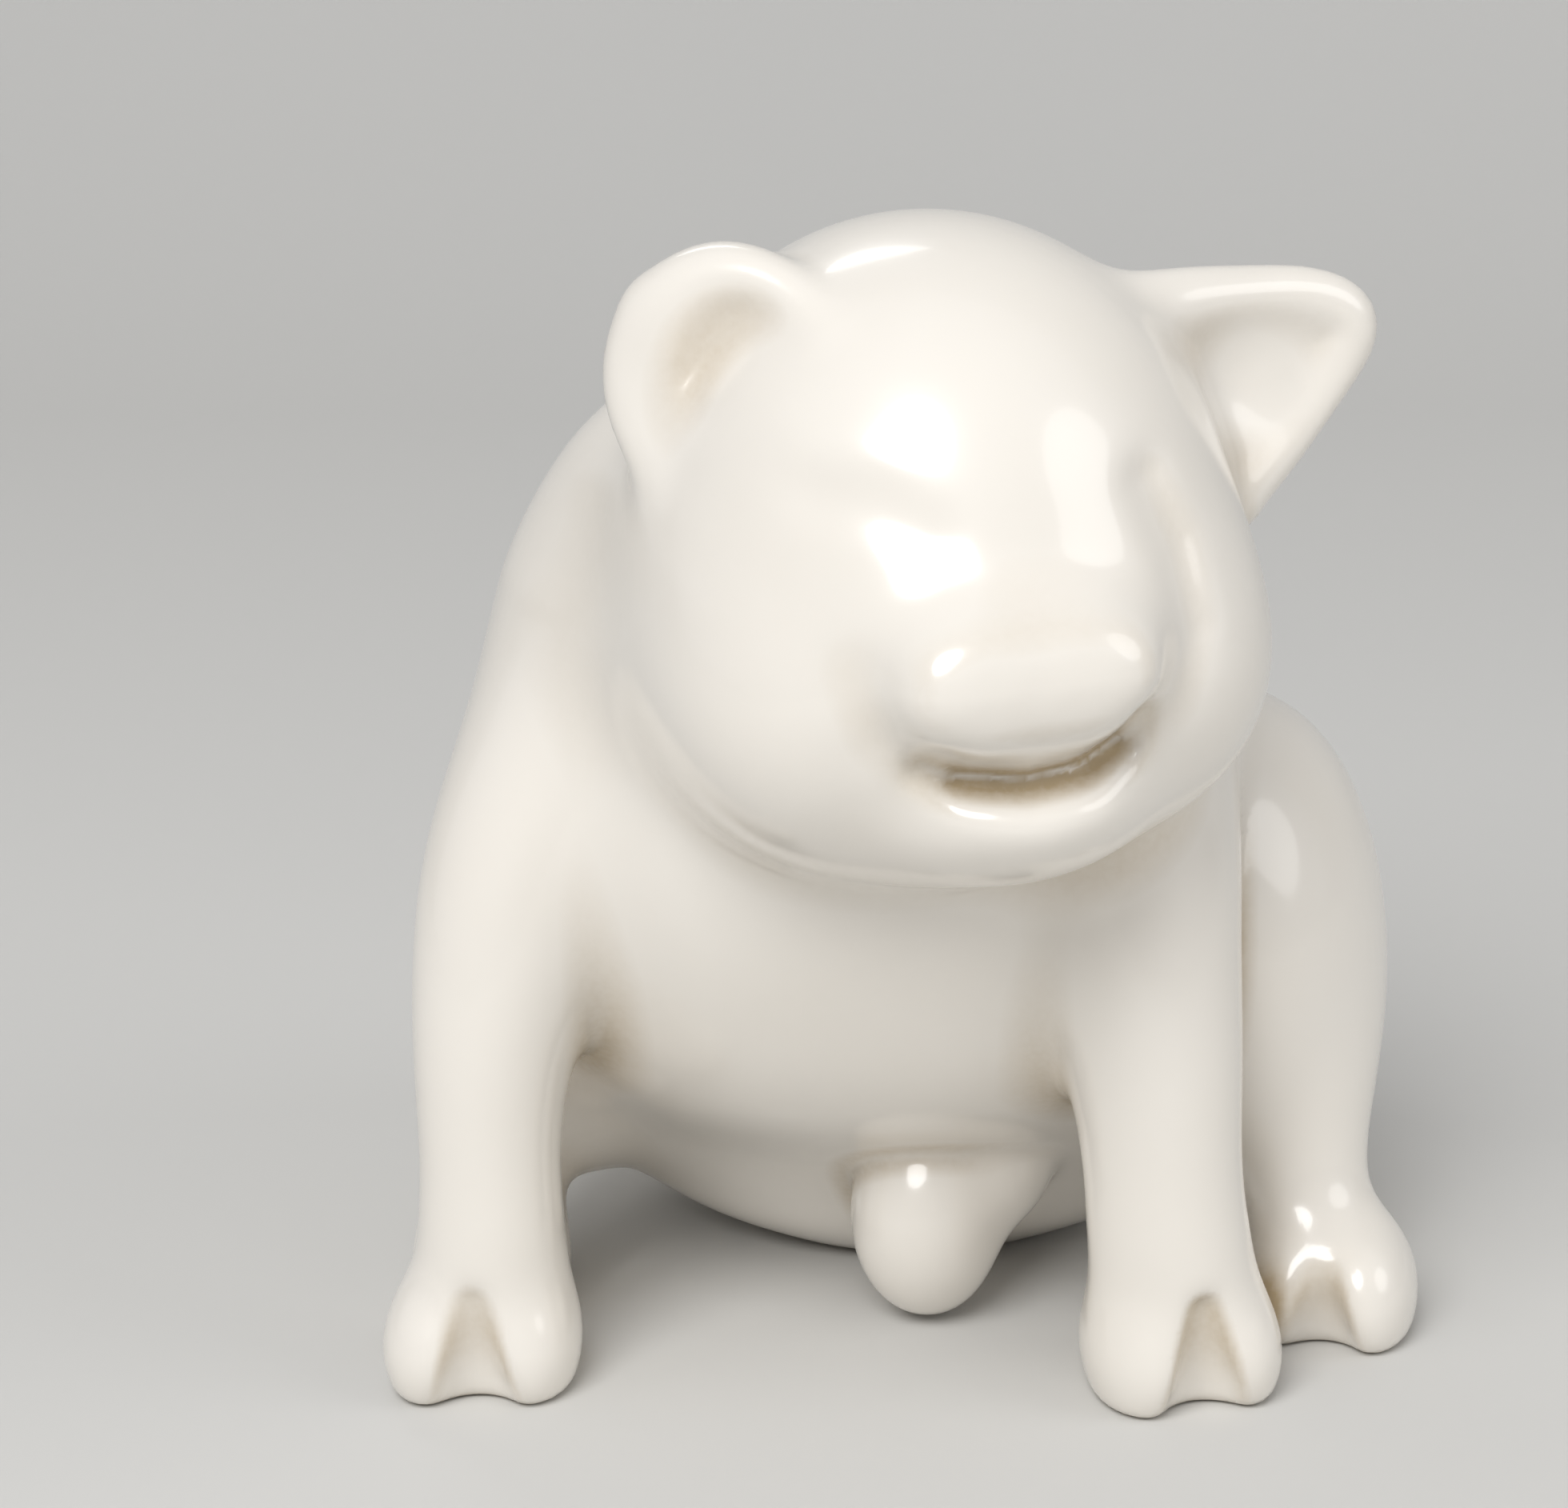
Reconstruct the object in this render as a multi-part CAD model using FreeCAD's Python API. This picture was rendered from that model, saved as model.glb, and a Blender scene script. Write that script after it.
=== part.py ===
import FreeCAD, Part
import math
import os

os.makedirs("parts", exist_ok=True)

# A coin bank in glazed porcelain: a pig sitting on its haunches, front legs straight, head turned a
# little to its left. The torso and the head are hollow slip castings, open to each other at the neck.
# The ears, legs, tail and belly lobe are thin enough to cast solid, and every casting is luted to the
# torso or the head with slip before the firing, so the joints are butt faces with no gap.
# Millimetres, +Z up, -Y the way the pig looks, +X the pig's left side.

# Overall sizes of the torso, without head and limbs
torso_height = 110.0    # floor to the top of the neck, which ends inside the head
torso_width = 84.0      # widest stretch, across the belly
torso_depth = 92.0      # chest to rump
torso_front = -9.0      # the foremost point of the chest, from the axis of the front legs
wall = 4.0              # thickness of the hollow castings
section_points = 12     # through which each smooth oval section is drawn

# Outline of the torso: height, front, back and half width as shares of the sizes above, and the
# sideways place of the section in millimetres. The neck leans to the pig's left, towards the head.
torso_outline = [
    (0.000, 0.490, 0.945, 0.235, 2.0),
    (0.030, 0.430, 0.975, 0.330, 1.8),
    (0.080, 0.380, 0.990, 0.405, 1.5),
    (0.160, 0.290, 1.000, 0.465, 1.2),
    (0.240, 0.155, 0.995, 0.490, 1.0),
    (0.350, 0.055, 0.970, 0.495, 1.0),
    (0.500, 0.000, 0.890, 0.500, 0.5),
    (0.650, 0.010, 0.775, 0.468, 0.3),
    (0.790, 0.060, 0.640, 0.410, 1.0),
    (0.900, 0.130, 0.490, 0.325, 3.0),
    (1.000, 0.200, 0.320, 0.110, 10.0),
]

# Head
head_width = 58.0
head_depth = 66.0
head_height = 66.0
head_place = (14.3, 1.0)    # sideways and forward place of its centre
head_drop = 22.5            # its centre below the top of the neck
head_turn = 22.0            # degrees towards the pig's left

# Outline of the head: height, width and depth as shares of the sizes above, and how far the section
# stands forward in millimetres. It is full at the jowls and domed at the crown.
head_outline = [
    (0.00, 0.22, 0.20, 6.0),
    (0.03, 0.50, 0.46, 6.0),
    (0.09, 0.76, 0.70, 5.0),
    (0.20, 0.95, 0.87, 4.0),
    (0.35, 1.00, 0.95, 2.0),
    (0.50, 1.00, 1.00, 0.5),
    (0.65, 0.96, 0.98, 0.0),
    (0.80, 0.83, 0.86, 0.0),
    (0.92, 0.58, 0.60, 0.0),
    (0.98, 0.32, 0.33, 0.0),
    (1.00, 0.12, 0.12, 0.0),
]
snout_width = 27.0          # the nose disc
snout_height = 11.5
snout_root_width = 44.0     # where the snout leaves the face
snout_root_height = 34.0
snout_reach = 40.0          # nose disc in front of the centre of the head
snout_drop = 4.0            # centre of the nose disc below the centre of the head

neck_hole_diameter = 34.0
neck_hole_aim = 0.55        # height that the hole looks at, as a share of the height of the coin slot

# Ears: cups of an even rim, thick at the edge. Width, depth and height, and the place of the middle
# from the centre of the head: to the pig's left, forward and up
right_ear_size = (25.5, 16.0, 18.5)
right_ear_place = (-20.0, 1.0, 21.5)
left_ear_size = (33.0, 14.0, 25.0)
left_ear_place = (28.5, -1.0, 16.5)
ear_rim = 4.0

# Front legs
front_stance = 71.5         # between the axes of the two front feet
front_leg_height = 66.0     # sole to the top of the shoulder, inside the torso
front_leg_width = 15.6      # at the narrowest, above the foot
front_foot_width = 19.6
front_foot_length = 19.5
front_stagger = 3.0         # the right front foot stands this far ahead of the left one

# Hind legs
hind_leg_height = 66.0      # sole to the top of the haunch, inside the torso
hind_foot_width = 17.0
hind_foot_length = 19.0
left_hind_x = 51.0          # the left hind foot is set out, the right one is tucked in
right_hind_x = -40.0
hind_foot_y = 22.0
hip_inset = 6.2             # of the middle of the haunch from the flank of the torso
hip_shift = 2.2             # the rump swings this far to the pig's left

# Cloven feet
notch_height = 13.5         # of the cleft between the two toes, at their tips
notch_width = 9.0           # of the cleft at the sole
notch_reach = 13.0          # of the cleft under the foot, from the tips of the toes
notch_taper = 0.35          # how much of its section is left where it ends

# Tail and belly lobe
tail_height = 0.26          # of the middle of the curl, as a share of the height of the torso
tail_curl_radius = 5.2
tail_radius = 2.4
lobe_place = (8.3, 22.5)
lobe_width = 17.2
lobe_length = 19.5
lobe_lift = 0.6             # its tip above the floor

# Coin slot, in the back of the neck
slot_length = 31.0
slot_width = 5.0
slot_tilt = 46.0            # degrees that the mouth of the slot is tipped back from level
slot_height = 0.70          # its middle, as a share of the height of the torso

# Stopper and its hole, in the flat seat under the rump
hole_diameter = 25.0
hole_ledge = 2.2            # width of the ledge that the flange closes on
recess_depth = 3.2
flange_thickness = 2.2
flange_clearance = 0.4      # between the edge of the flange and the recess
plug_clearance = 0.05       # radial, between the plug and its hole
plug_reach = 3.5            # of the plug past the inner face of the seat
plug_wall = 2.6
seat_thickness = 7.0        # of the porcelain at the hole


def point(x, y, z):
    return FreeCAD.Vector(x, y, z)


def turned(vector, turns):
    """The vector after each turn, given as (axis, degrees), in order."""
    for axis, degrees in turns:
        vector = FreeCAD.Rotation(point(*axis), degrees).multVec(vector)
    return vector


def section(half_width, half_depth, place, turns=()):
    """A smooth oval, level before its turns, that always starts on +X, so that a loft does not twist."""
    around = []
    for step in range(section_points):
        angle = 2 * math.pi * step / section_points
        flat = point(half_width * math.cos(angle), half_depth * math.sin(angle), 0)
        around.append(point(*place) + turned(flat, turns))
    curve = Part.BSplineCurve()
    curve.interpolate(Points=around, PeriodicFlag=True)
    return Part.Wire(curve.toShape())


def egg(half_sizes, place, turns=()):
    """An egg lofted along its own Z axis, with a small flat at each end."""
    rings = []
    for degrees in (8, 22, 42, 66, 90, 114, 138, 158, 172):
        out = math.sin(math.radians(degrees))
        up = -math.cos(math.radians(degrees)) * half_sizes[2]
        centre = point(*place) + turned(point(0, 0, up), turns)
        rings.append(section(half_sizes[0] * out, half_sizes[1] * out, centre, turns))
    return Part.makeLoft(rings, True)


def limb(sections):
    """A solid lofted through level ellipses: (x, y, z, half width, half depth)."""
    return Part.makeLoft([section(w, d, (x, y, z)) for x, y, z, w, d in sections], True)


def disc(radius, low, high, centre):
    return Part.makeCylinder(radius, high - low, point(centre[0], centre[1], low))


def hollow(outer, inner):
    """A closed shell of the material between two skins that don't meet."""
    return Part.makeSolid(Part.makeCompound([outer.Shells[0], inner.Shells[0].reversed()]))


# Torso -------------------------------------------------------------------------------------------

def torso_sections(inset):
    """The outline in millimetres; an inset moves every section in and squeezes the heights by it."""
    rows = []
    for height, front, back, half, shift in torso_outline:
        y_front = torso_front + front * torso_depth
        y_back = torso_front + back * torso_depth
        z = inset + height * (torso_height - 2 * inset)
        half_width = half * torso_width - inset
        half_depth = (y_back - y_front) / 2 - inset
        rows.append((shift, (y_front + y_back) / 2, z, half_width, half_depth))
    return rows


torso_outer = limb(torso_sections(0.0))
inner_rows = [row for row in torso_sections(wall) if row[3] > wall / 2 and row[4] > wall / 2]
torso_inner = limb(inner_rows)

seat_centre = torso_sections(0.0)[0][:2]
hole_radius = hole_diameter / 2
recess_radius = hole_radius + hole_ledge
# Around the hole the floor of the torso is a level boss, so that the plug goes through an even bore.
boss = disc(recess_radius + wall / 2, -1, seat_thickness, seat_centre)
hole = disc(hole_radius, -1, seat_thickness + 1, seat_centre)
recess = disc(recess_radius, -1, recess_depth, seat_centre)


def outline_at(height):
    """Front, back and sideways place of the torso at a share of its height."""
    for low, high in zip(torso_outline, torso_outline[1:]):
        if low[0] <= height <= high[0]:
            share = (height - low[0]) / (high[0] - low[0])
            front, back, half, shift = [a + share * (b - a) for a, b in zip(low[1:], high[1:])]
            return torso_front + front * torso_depth, torso_front + back * torso_depth, shift


slot_y, slot_x = outline_at(slot_height)[1:]
slot_z = slot_height * torso_height
slot = Part.makeBox(slot_width, slot_length, 8 * wall,
                    point(-slot_width / 2, -slot_length / 2, -4 * wall))
slot.Placement = FreeCAD.Placement(point(slot_x, slot_y, slot_z),
                                   FreeCAD.Rotation(point(1, 0, 0), -slot_tilt))

# Head --------------------------------------------------------------------------------------------

head_x, head_y = head_place
head_z = torso_height - head_drop
turn = ((0, 0, 1), head_turn)
facing = FreeCAD.Rotation(point(0, 0, 1), head_turn)


def from_head(side, forward, up):
    """A place given from the centre of the head: to the pig's left, forward and up."""
    moved = facing.multVec(point(side, -forward, up))
    return (head_x + moved.x, head_y + moved.y, head_z + moved.z)


def snout():
    """A blunt snout, lofted from its root inside the face to the nose disc."""
    rings = [(4.0, snout_root_width / 2, snout_root_height / 2, 0.0),
             (snout_reach - 12.0, snout_root_width * 0.40, snout_root_height * 0.34, snout_drop * 0.7),
             (snout_reach - 3.0, snout_width * 0.52, snout_height * 0.56, snout_drop),
             (snout_reach, snout_width * 0.42, snout_height * 0.40, snout_drop)]
    wires = []
    for reach, half_width, half_height, drop in rings:
        wires.append(section(half_width, half_height, from_head(0, reach, -drop), (((1, 0, 0), 90), turn)))
    return Part.makeLoft(wires, True)


def skull(inset):
    """The head without its snout; an inset moves every section in and squeezes the heights by it."""
    rings = []
    for height, width, depth, forward in head_outline:
        half_width = width * head_width / 2 - inset
        half_depth = depth * head_depth / 2 - inset
        up = (height - 0.5) * (head_height - 2 * inset)
        if min(half_width, half_depth) > inset / 2:
            rings.append(section(half_width, half_depth, from_head(0, forward, up), (turn,)))
    return Part.makeLoft(rings, True)


head_outer = skull(0.0).fuse(snout())

torso = hollow(torso_outer, torso_inner.cut(boss)).cut([recess, hole, slot, head_outer])

# A round hole in the back of the head opens it to the torso, so that air and coins pass the neck.
head_centre = point(head_x, head_y, head_z)
neck_way = point(slot_x, slot_y, slot_z * neck_hole_aim) - head_centre
neck_hole = Part.makeCylinder(neck_hole_diameter / 2, head_depth, head_centre, neck_way)
head = hollow(head_outer, skull(wall)).cut(neck_hole)

# Ears --------------------------------------------------------------------------------------------


def ear(centre, sizes, turns, dish_shift):
    """A cup: a flat egg with a smaller egg sunk into its front face, cut off where it meets the head."""
    half = [size / 2 for size in sizes]
    cup = egg(half, centre, turns)
    dish_half = [half[0] - ear_rim, half[1], half[2] - ear_rim]
    dish = egg(dish_half, [c + s for c, s in zip(centre, dish_shift)], turns)
    return cup.cut(dish).cut(head_outer).cut(torso_outer)


right_ear = ear(from_head(*right_ear_place), right_ear_size,
                (((0, 1, 0), -32), ((0, 0, 1), 15)), (2.0, -6.5, -2.5))
left_ear = ear(from_head(*left_ear_place), left_ear_size,
               (((0, 1, 0), -30), ((0, 0, 1), -4)), (1.0, -6.5, 0.0))

# Legs --------------------------------------------------------------------------------------------


def cleft(x, y_toe):
    """The wedge that parts the two toes: widest at the front of the sole, closing upwards and inwards."""
    ends = []
    for y, share in ((-2.0, 1.0), (notch_reach, notch_taper)):
        half = share * notch_width / 2
        corners = [point(-half, y, -1), point(half, y, -1), point(0, y, share * notch_height)]
        ends.append(Part.makePolygon(corners + corners[:1]))
    wedge = Part.makeLoft(ends, True, True)
    wedge.translate(point(x, y_toe, 0))
    return wedge


def front_leg(side, stagger):
    """A straight leg from the sole to a shoulder that runs into the torso."""
    x = side * front_stance / 2
    shoulder = side * (torso_width / 2 - 12.0)
    thin = front_leg_width / 2
    wide = front_foot_width / 2
    long = front_foot_length / 2
    top = front_leg_height
    leg = limb([
        (x, 0.5 - stagger, 0.0, wide - 2.4, long - 2.2),
        (x, 0.5 - stagger, 2.5, wide - 0.5, long - 0.4),
        (x, 0.6 - stagger, 6.0, wide, long),
        (x, 0.8 - stagger, 11.0, wide - 0.9, long - 1.0),
        (x, 1.0 - stagger, 0.30 * top, thin, thin + 0.4),
        (x * 0.985, 2.5 - stagger / 2, 0.47 * top, thin + 0.9, thin + 1.6),
        (x * 0.93, 7.0, 0.66 * top, thin + 2.8, thin + 6.0),
        (x * 0.84, 12.0, 0.85 * top, thin + 3.4, thin + 8.0),
        (shoulder * 0.80, 17.0, top, thin, thin + 4.0),
    ])
    return leg.cut([cleft(x, 0.5 - stagger - long), torso_outer, head_outer])


def hind_leg(side, foot_x, front):
    """A haunch on the flank of the torso, a short shank and a foot set forward, behind the front leg."""
    hip = side * (torso_width / 2 - hip_inset) + hip_shift
    wide = hind_foot_width / 2
    long = hind_foot_length / 2
    y = hind_foot_y
    top = hind_leg_height
    hock = 0.55 * foot_x + 0.45 * hip
    leg = limb([
        (foot_x, y, 0.0, wide - 2.2, long - 2.4),
        (foot_x, y, 2.5, wide - 0.4, long - 0.4),
        (foot_x, y, 5.5, wide, long),
        (foot_x - side * 1.5, y + 1.0, 10.0, wide - 1.2, long - 1.0),
        (hock + side * 1.5, y + 2.5, 0.26 * top, wide - 1.6, long),
        (hip + side * 4.0, y + 9.0, 0.42 * top, wide + 1.5, long + 6.0),
        (hip + side * 1.0, y + 15.0, 0.58 * top, wide + 5.0, long + 12.0),
        (hip - side * 2.5, y + 18.0, 0.74 * top, wide + 4.5, long + 12.0),
        (hip - side * 8.0, y + 19.0, 0.90 * top, wide + 1.5, long + 7.0),
        (hip - side * 11.0, y + 19.0, top, wide - 3.0, long - 2.0),
    ])
    return leg.cut([cleft(foot_x, y - long), torso_outer, front])


right_front_leg = front_leg(-1, front_stagger)
left_front_leg = front_leg(1, 0.0)
right_hind_leg = hind_leg(-1, right_hind_x, right_front_leg)
left_hind_leg = hind_leg(1, left_hind_x, left_front_leg)

# Tail and belly lobe -------------------------------------------------------------------------------

tail_x = torso_outline[4][4]
tail_y = outline_at(tail_height)[1] + tail_radius * 0.6
ring = Part.makeTorus(tail_curl_radius, tail_radius, point(0, 0, 0), point(0, 0, 1), -180, 180, 300)
ring.Placement = FreeCAD.Placement(point(tail_x, tail_y, tail_height * torso_height),
                                   FreeCAD.Rotation(point(1, 0, 0), 90))
tail = ring.cut(torso_outer)

lobe_half = lobe_width / 2
lobe_middle = (lobe_place[0], lobe_place[1], lobe_length / 2 + lobe_lift)
lobe = egg((lobe_half, lobe_half * 0.95, lobe_length / 2), lobe_middle, (((0, 1, 0), 5),))
belly_lobe = lobe.cut(torso_outer).cut(right_front_leg).cut(left_front_leg)

# Stopper -----------------------------------------------------------------------------------------

plug_radius = hole_radius - plug_clearance
plug_top = seat_thickness + plug_reach
flange_radius = recess_radius - flange_clearance
flange_bottom = recess_depth - flange_thickness
stopper = disc(flange_radius, flange_bottom, recess_depth, seat_centre)
stopper = stopper.fuse(disc(plug_radius, flange_bottom, plug_top, seat_centre)).removeSplitter()
stopper = stopper.cut(disc(plug_radius - plug_wall, recess_depth, plug_top + 1, seat_centre))

# The finished bank stands with its origin under the middle of its own box ---------------------------

nodes = {
    "torso": torso,
    "head": head,
    "ear_right": right_ear,
    "ear_left": left_ear,
    "front_leg_right": right_front_leg,
    "front_leg_left": left_front_leg,
    "hind_leg_right": right_hind_leg,
    "hind_leg_left": left_hind_leg,
    "tail": tail,
    "belly_lobe": belly_lobe,
    "stopper": stopper,
}
whole = Part.makeCompound(list(nodes.values())).optimalBoundingBox(False)
shift = point(-(whole.XMin + whole.XMax) / 2, -(whole.YMin + whole.YMax) / 2, -whole.ZMin)
for name, shape in nodes.items():
    shape.translate(shift)
    shape.exportStep("parts/" + name + ".step")
    print(name, "solids", len(shape.Solids), "valid", shape.isValid(), "cm3", round(shape.Volume / 1000, 2))
print("box", [round(v, 2) for v in (whole.XLength, whole.YLength, whole.ZLength)])
print("shift", [round(v, 3) for v in shift])
print("seat centre", [round(v, 3) for v in (seat_centre[0] + shift.x, seat_centre[1] + shift.y)])
print("slot middle", [round(v, 3) for v in (slot_x + shift.x, slot_y + shift.y, slot_z + shift.z)])
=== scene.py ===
import math

import bpy
import numpy as np
from mathutils import Matrix, Vector


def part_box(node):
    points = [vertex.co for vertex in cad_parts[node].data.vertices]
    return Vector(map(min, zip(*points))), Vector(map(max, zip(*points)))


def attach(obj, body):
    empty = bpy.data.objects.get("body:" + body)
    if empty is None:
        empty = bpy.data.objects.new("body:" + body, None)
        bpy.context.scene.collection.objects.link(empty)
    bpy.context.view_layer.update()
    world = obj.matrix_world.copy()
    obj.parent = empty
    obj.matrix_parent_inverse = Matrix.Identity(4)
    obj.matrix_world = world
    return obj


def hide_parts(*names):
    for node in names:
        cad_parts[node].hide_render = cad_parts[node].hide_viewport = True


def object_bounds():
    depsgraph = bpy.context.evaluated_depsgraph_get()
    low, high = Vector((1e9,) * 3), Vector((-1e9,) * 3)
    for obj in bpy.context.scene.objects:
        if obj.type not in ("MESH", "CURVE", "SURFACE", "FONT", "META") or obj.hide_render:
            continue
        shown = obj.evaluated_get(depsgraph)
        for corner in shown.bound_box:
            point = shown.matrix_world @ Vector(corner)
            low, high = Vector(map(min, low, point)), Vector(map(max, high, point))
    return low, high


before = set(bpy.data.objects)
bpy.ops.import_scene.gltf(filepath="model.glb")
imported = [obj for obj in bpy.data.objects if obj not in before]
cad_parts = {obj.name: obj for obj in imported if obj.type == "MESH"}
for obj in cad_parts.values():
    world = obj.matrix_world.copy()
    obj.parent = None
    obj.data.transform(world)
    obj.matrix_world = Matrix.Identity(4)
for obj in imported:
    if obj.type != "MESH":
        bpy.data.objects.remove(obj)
cad_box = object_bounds()

# Torso ---------------------------------------------------------------------------------------------
# The body of the bank is a hollow slip casting in porcelain, poured in a plaster mould. It sits on a
# flat seat, leans forward to the chest and narrows to the neck, where the head is luted on with slip.
# Shapes are worked out in millimetres as distances from the surface, negative inside.

mm = 1000.0


def middle(node, floor=False):
    """The middle of a CAD node in millimetres, or the point on the floor under it."""
    low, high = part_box(node)
    x, y, z = (low + high) * (mm / 2)
    return np.array((x, y, 0.0 if floor else z))


def column(values):
    """Numbers as a column, to go with points that are stored as three rows."""
    return np.array(values, np.float32).reshape(-1, 1)


def spline(rows, at):
    """Smooth values between rows of numbers whose first entry is where they are given."""
    rows = np.array(rows, float)
    x, y = rows[:, 0], rows[:, 1:]
    h = np.diff(x)
    lean = np.zeros((len(x), len(x)))
    pull = np.zeros_like(y)
    lean[0, 0] = lean[-1, -1] = 1
    for i in range(1, len(x) - 1):
        lean[i, i - 1:i + 2] = h[i - 1], 2 * (h[i - 1] + h[i]), h[i]
        pull[i] = 6 * ((y[i + 1] - y[i]) / h[i] - (y[i] - y[i - 1]) / h[i - 1])
    bend = np.linalg.solve(lean, pull)
    i = np.clip(np.searchsorted(x, at) - 1, 0, len(h) - 1)
    a, b = (x[i + 1] - at)[:, None], (at - x[i])[:, None]
    step = h[i][:, None]
    curved = (bend[i] * a**3 + bend[i + 1] * b**3) / (6 * step)
    return (curved + (y[i] / step - bend[i] * step / 6) * a
            + (y[i + 1] / step - bend[i + 1] * step / 6) * b)


def stack(rows, spacing=0.25, steepest=1.2):
    """A shape of level ovals stacked along the third axis: (height, x, y, half width, half depth). Where it
    closes faster than the steepest slope, the slope is held there, so that distances stay near the truth."""
    foot_level, top = rows[0][0], rows[-1][0]
    at = np.arange(foot_level, top + spacing, spacing)
    table = spline(rows, at)
    table = np.hstack([table, np.gradient(table, spacing, axis=0)]).astype(np.float32).T

    def shape(p):
        up = np.clip(p[2], foot_level, top)
        place = (up - foot_level) / spacing
        i = np.minimum(place.astype(int), table.shape[1] - 2)
        share = place - i
        x, y, a, b, dx, dy, da, db = table[:, i] * (1 - share) + table[:, i + 1] * share
        u = (p[0] - x) / a
        v = (p[1] - y) / b
        k = np.sqrt(u * u + v * v) + 1e-6
        level = np.hypot(u / a, v / b) / k
        climb = (u * (u * da + dx) / a + v * (v * db + dy) / b) / k
        climb = np.clip(climb, -steepest * level, steepest * level)
        flat = (k - 1) / np.hypot(level, climb)
        past = np.abs(p[2] - up)
        return np.where(past > 0, np.hypot(np.maximum(flat, 0), past), flat)

    return shape


torso_stack = stack([
    (-5, 1.5, 20.0, 12.0, 14.0),
    (0, 1.4, 20.0, 20.0, 21.2),
    (3.3, 1.2, 18.7, 27.7, 25.1),
    (8.8, 0.9, 17.1, 34.0, 28.1),
    (17.6, 0.6, 13.2, 39.0, 32.2),
    (26.4, 0.4, 6.6, 41.0, 37.8),
    (38.5, 0.4, 0.9, 41.4, 41.5),
    (55, -0.1, -5.0, 41.6, 40.9),
    (71.5, 0.2, -9.8, 38.5, 35.2),
    (86.9, 1.2, -13.7, 34.0, 26.7),
    (98, 3.6, -17.4, 27.2, 17.6),
    (106, 6.8, -20.6, 18.6, 11.0),
    (112, 8.6, -23.0, 7.0, 4.0),
])


def torso(p):
    return torso_stack(p - column(middle("torso", floor=True)))


# Head ----------------------------------------------------------------------------------------------
# A second hollow casting, turned a little to the pig's left and tipped with it: a domed crown, full
# jowls, a blunt snout over a small open mouth, and eyes that are no more than soft creases. The modeller
# pressed the creases into the clay model, so they have no sharp edge anywhere.

head_turn = math.radians(22)
head_tip = math.radians(3)
head_centre = middle("head") + (-0.3, 4.5, 0.0)
to_left = Vector((math.cos(head_turn), math.sin(head_turn), 0))
forward = Vector((math.sin(head_turn), -math.cos(head_turn), 0))
tipped = Matrix.Rotation(head_tip, 3, forward)
head_axes = np.array([tipped @ to_left, forward, tipped @ Vector((0, 0, 1))], np.float32).T

snout_stack = stack([
    (4, 0.0, -3.0, 20.5, 22.0),
    (18, -0.2, -3.2, 17.0, 16.5),
    (26, -0.8, -3.6, 12.8, 12.2),
    (33, -1.6, -3.8, 9.5, 7.9),
    (38, -2.0, -3.9, 8.4, 6.2),
    (43, -2.0, -4.0, 7.8, 5.4),
])
snout_front = 39.8
snout_spread = 4.0
cheeks = (-17.0, 14.2)
smile = [(-10.6, -11.6), (-7.6, -13.4), (-2.0, -14.5), (3.6, -14.0), (7.2, -12.2), (9.0, -9.6)]


def blended(a, b, radius):
    """Two shapes joined, with a soft fillet where they meet."""
    reach = 1.5 * radius
    near = np.maximum(reach - np.abs(a - b), 0.0) / reach
    return np.minimum(a, b) - near**3 * radius / 4


def carved(solid, tool, radius):
    """A solid with a tool's shape taken out, its edges rounded."""
    return -blended(-solid, tool, radius)


def length(q):
    return np.sqrt(q[0] * q[0] + q[1] * q[1] + q[2] * q[2])


def egg(p, centre, radii):
    """An ellipsoid."""
    q = (p - column(centre)) / column(radii)
    k0 = length(q)
    return k0 * (k0 - 1) / np.maximum(length(q / column(radii)), 1e-6)


def rod(p, a, b, radius_a, radius_b):
    """A rod with round ends that tapers from one radius to the other."""
    along = column(b) - column(a)
    q = p - column(a)
    share = np.clip((along.T @ q)[0] / float((along * along).sum()), 0, 1)
    return length(q - share * along) - radius_a - share * (radius_b - radius_a)


def pressed(shape, q, points, width, depth):
    """A shape with a soft furrow pressed into its front along a line of (across, up) points. A depth
    below zero raises a ridge."""
    near = np.full(q.shape[1], 1e9, np.float32)
    for a, b in zip(points, points[1:]):
        run = (b[0] - a[0], b[1] - a[1])
        u, v = q[0] - a[0], q[2] - a[1]
        share = np.clip((u * run[0] + v * run[1]) / (run[0] ** 2 + run[1] ** 2), 0, 1)
        near = np.minimum(near, (u - share * run[0]) ** 2 + (v - share * run[1]) ** 2)
    in_front = np.clip((q[1] - 4) / 10, 0, 1)
    return shape + depth * np.exp(-near / width**2) * in_front


def head(p):
    q = head_axes.T @ (p - column(head_centre))
    crown = egg(q, (-1.2, -0.5, 6.3), (26.8, 31.5, 26.7))
    jowls = egg(q, (-1.6, 3.0, -9.5), (27.4, 28.5, 21.0))
    jaw = egg(q, (-1.0, 19.5, -17.5), (14.5, 15.0, 9.0))
    skull = blended(crown, jowls, 14)
    for across in cheeks:
        skull = blended(skull, egg(q, (across, 12.0, -9.0), (11.5, 15.0, 13.0)), 8)
    skull = blended(skull, jaw, 4)

    lying = q[[0, 2, 1]]
    aside = column((snout_spread, 0, 0))
    snout = blended(snout_stack(lying + aside), snout_stack(lying - aside), 3)
    snout = carved(snout, snout_front - q[1], 6.0)
    skull = blended(skull, snout, 5)

    # Right eye, its brow, the side of the snout, the right cheek, the mouth in two depths, the lower lip.
    skull = pressed(skull, q, [(-17.0, 12.6), (-12.5, 11.6), (-8.4, 9.2)], 3.0, 0.45)
    skull = pressed(skull, q, [(-17.5, 17.0), (-12.0, 16.4)], 3.4, -0.3)
    skull = pressed(skull, q, [(12.6, 10.5), (14.6, 4.5), (15.2, -3.0), (12.8, -9.0)], 2.7, 0.85)
    skull = pressed(skull, q, [(-16.0, -3.0), (-14.8, -8.5)], 3.2, 0.5)
    skull = pressed(skull, q, smile, 2.0, 1.7)
    skull = pressed(skull, q, smile[1:5], 1.5, 1.1)
    return pressed(skull, q, [(-7.0, -18.4), (-1.0, -19.2), (4.5, -18.0)], 2.8, -0.3)


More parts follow.
